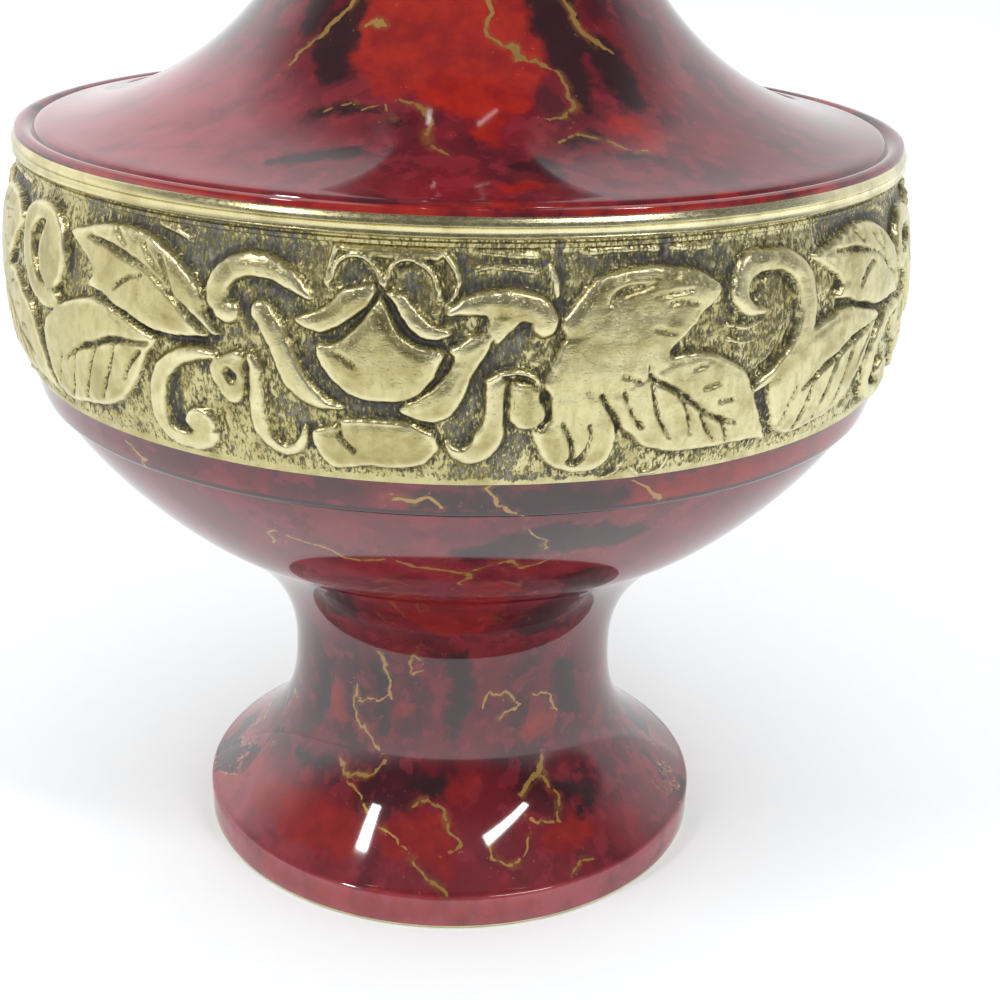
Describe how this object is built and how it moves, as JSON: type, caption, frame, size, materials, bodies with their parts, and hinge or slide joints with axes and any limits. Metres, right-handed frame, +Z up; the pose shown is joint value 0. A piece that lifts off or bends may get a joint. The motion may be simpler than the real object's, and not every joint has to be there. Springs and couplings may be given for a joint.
{
  "type": "brass vase",
  "caption": "Footed vase of cast brass with a narrow flared neck, a wide belly and a relief band of roses, leaves and scrolls; the plain parts are coated in red and black marbled lacquer",
  "frame": {"origin": "centre of the foot's underside, on the surface that the vase stands on", "axes": "+Z up along the axis of turning; a rose of the relief faces 8 degrees to the left of -Y"},
  "size_m": [0.116, 0.116, 0.19],
  "materials": {
    "brass": "cast, polished on the high spots, dark in the recesses",
    "lacquer": "glossy marbled red and black lacquer with fine gold veins"
  },
  "bodies": {
    "root": {"vase": "brass"}
  },
  "joints": []
}
